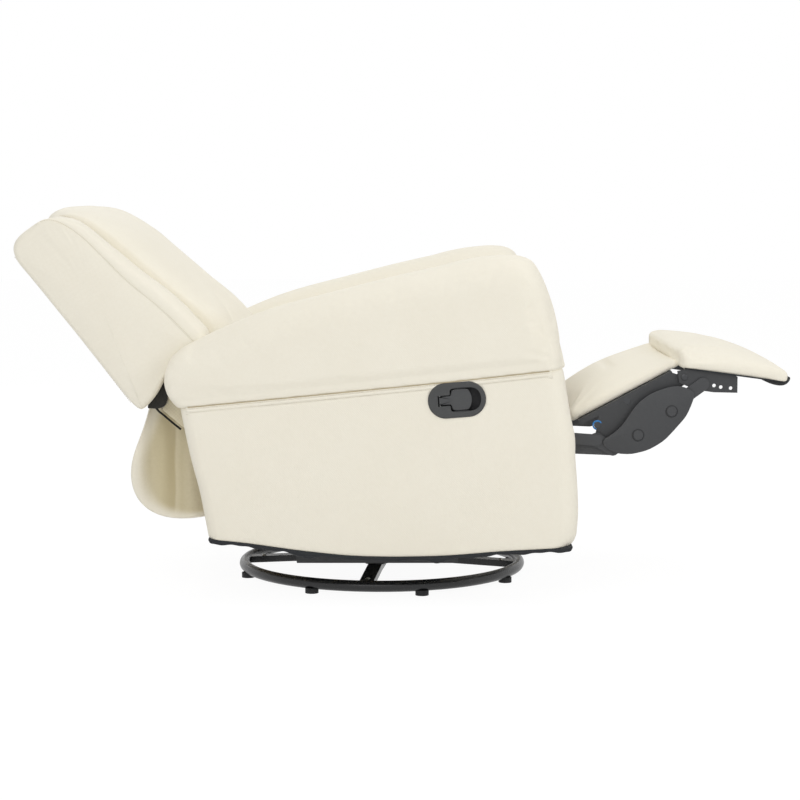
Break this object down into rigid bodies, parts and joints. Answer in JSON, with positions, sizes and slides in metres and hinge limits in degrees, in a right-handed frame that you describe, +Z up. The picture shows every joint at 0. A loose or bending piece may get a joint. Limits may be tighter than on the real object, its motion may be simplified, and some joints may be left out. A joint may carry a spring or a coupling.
{
  "type": "swivel rocker recliner",
  "caption": "Upholstered swivel rocker recliner on a round ring base, drawn reclined with its footrest out; it swivels, rocks, reclines and folds its footrest away.",
  "frame": {"origin": "on the floor, under the swivel axis: the centre of the circle of glide screws", "axes": "+X to the footrest, +Y to the sitter's left, +Z up"},
  "size_m": [1.4634, 0.79, 0.7461],
  "materials": {
    "base_black": "satin powder coat",
    "glide": "matte",
    "zinc": "zinc plated",
    "spring_steel": "oiled",
    "mechanism_grey": "satin",
    "wood": "bare plywood",
    "cream_fabric": "fine woven",
    "back_fabric": "fine woven",
    "charcoal_trim": "woven",
    "latch_plastic": "fine moulded grain",
    "cable_black": "matte"
  },
  "bodies": {
    "base": {"base_ring": "base_black", "base_cross": "base_black", "floor_glides": "glide", "spoke_screws": "zinc", "bearing_lower": "zinc", "bearing_balls": "zinc", "swivel_bolt": "zinc"},
    "swivel": {"bearing_upper": "zinc", "swivel_plate": "mechanism_grey", "rocker_pin": "zinc", "rocker_springs": "spring_steel"},
    "chassis": {"rocker_frame": "mechanism_grey", "cross_rail_rear": "mechanism_grey", "cross_rail_front": "mechanism_grey", "mechanism_rail_l": "mechanism_grey", "mechanism_rail_r": "mechanism_grey", "side_frame_l": "wood", "side_frame_r": "wood", "side_panel_l": "cream_fabric", "side_panel_r": "cream_fabric", "arm_pad_l": "cream_fabric", "arm_pad_r": "cream_fabric", "arm_welt_l": "cream_fabric", "arm_welt_r": "cream_fabric", "bottom_trim": "charcoal_trim", "rear_rail": "wood", "rear_skirt": "back_fabric", "latch_bezel": "latch_plastic", "latch_pin": "zinc", "release_cable": "cable_black", "side_bolts": "zinc"},
    "latch": {"latch_paddle": "latch_plastic"},
    "back": {"back_shell": "back_fabric", "back_frame": "wood", "back_brackets": "mechanism_grey", "back_bolster_l": "cream_fabric", "back_bolster_r": "cream_fabric", "back_cushion": "cream_fabric"},
    "swing_rear": {"rear_swing_links": "mechanism_grey"},
    "swing_front": {"front_swing_links": "mechanism_grey"},
    "seat": {"seat_plate_l": "mechanism_grey", "seat_plate_r": "mechanism_grey", "seat_frame": "wood", "seat_springs": "spring_steel", "seat_cushion": "cream_fabric"},
    "front_link": {"front_links": "mechanism_grey"},
    "rear_link": {"rear_links": "mechanism_grey", "drive_tube": "zinc"},
    "lower_ottoman": {"lower_ottoman_links": "mechanism_grey", "link_covers": "mechanism_grey", "cover_caps": "mechanism_grey"},
    "upper_ottoman": {"upper_ottoman_links": "mechanism_grey", "mid_board": "wood", "mid_panel": "cream_fabric"},
    "footrest": {"footrest_brackets": "mechanism_grey", "footrest_board": "wood", "footrest_pad": "cream_fabric", "nose_bumper": "charcoal_trim"}
  },
  "joints": [
    {"name": "swivel", "type": "hinge", "parent": "base", "child": "swivel", "pos_m": [0, 0, 0.048], "axis": [0, 0, 1], "continuous": true},
    {"name": "rock", "type": "hinge", "parent": "swivel", "child": "chassis", "pos_m": [0, 0, 0.1], "axis": [0, 1, 0], "range_deg": [-8, 6], "stiffness_Nm_per_rad": 700, "deforming": ["rocker_springs"]},
    {"name": "latch", "type": "hinge", "parent": "chassis", "child": "latch", "pos_m": [0.1111, -0.3855, 0.38849], "axis": [0.0785, 0, -0.9969], "range_deg": [0, 25], "stiffness_Nm_per_rad": 0.4},
    {"name": "back_recline", "type": "hinge", "parent": "chassis", "child": "back", "pos_m": [-0.23, 0, 0.31], "axis": [0, 1, 0], "range_deg": [0, 22], "deforming": ["rear_skirt"]},
    {"name": "rear_swing", "type": "hinge", "parent": "chassis", "child": "swing_rear", "pos_m": [-0.17, 0, 0.19], "axis": [0, 1, 0], "range_deg": [-26.1, 0.1]},
    {"name": "front_swing", "type": "hinge", "parent": "chassis", "child": "swing_front", "pos_m": [0.11, 0, 0.19], "axis": [0, 1, 0], "range_deg": [-26.1, 0.1]},
    {"name": "seat_level", "type": "hinge", "parent": "swing_rear", "child": "seat", "pos_m": [-0.152, 0, 0.26795], "axis": [0, 1, 0], "range_deg": [-0.1, 26.1]},
    {"name": "footrest_extend", "type": "hinge", "parent": "seat", "child": "front_link", "pos_m": [0.255, 0, 0.29], "axis": [0, 1, 0], "range_deg": [0, 83]},
    {"name": "rear_link_swing", "type": "hinge", "parent": "seat", "child": "rear_link", "pos_m": [0.1855, 0, 0.3164], "axis": [0, 1, 0], "range_deg": [-0.1, 73.6]},
    {"name": "lower_ottoman_swing", "type": "hinge", "parent": "front_link", "child": "lower_ottoman", "pos_m": [0.447, 0, 0.282], "axis": [0, 1, 0], "range_deg": [-125.1, 0.1]},
    {"name": "upper_ottoman_swing", "type": "hinge", "parent": "front_link", "child": "upper_ottoman", "pos_m": [0.412, 0, 0.295], "axis": [0, 1, 0], "range_deg": [-125.1, 0.1]},
    {"name": "footrest_tilt", "type": "hinge", "parent": "lower_ottoman", "child": "footrest", "pos_m": [0.619, 0, 0.408], "axis": [0, 1, 0], "range_deg": [-0.1, 125.1]}
  ],
  "couplings": [
    {"joint": "rear_swing", "follows": "back_recline", "ratio": -1.1818},
    {"joint": "front_swing", "follows": "back_recline", "ratio": -1.1818},
    {"joint": "seat_level", "follows": "back_recline", "ratio": 1.1818},
    {"joint": "rear_link_swing", "follows": "footrest_extend", "ratio": 0.88542},
    {"joint": "lower_ottoman_swing", "follows": "footrest_extend", "ratio": -1.506},
    {"joint": "upper_ottoman_swing", "follows": "footrest_extend", "ratio": -1.506},
    {"joint": "footrest_tilt", "follows": "footrest_extend", "ratio": 1.506}
  ]
}
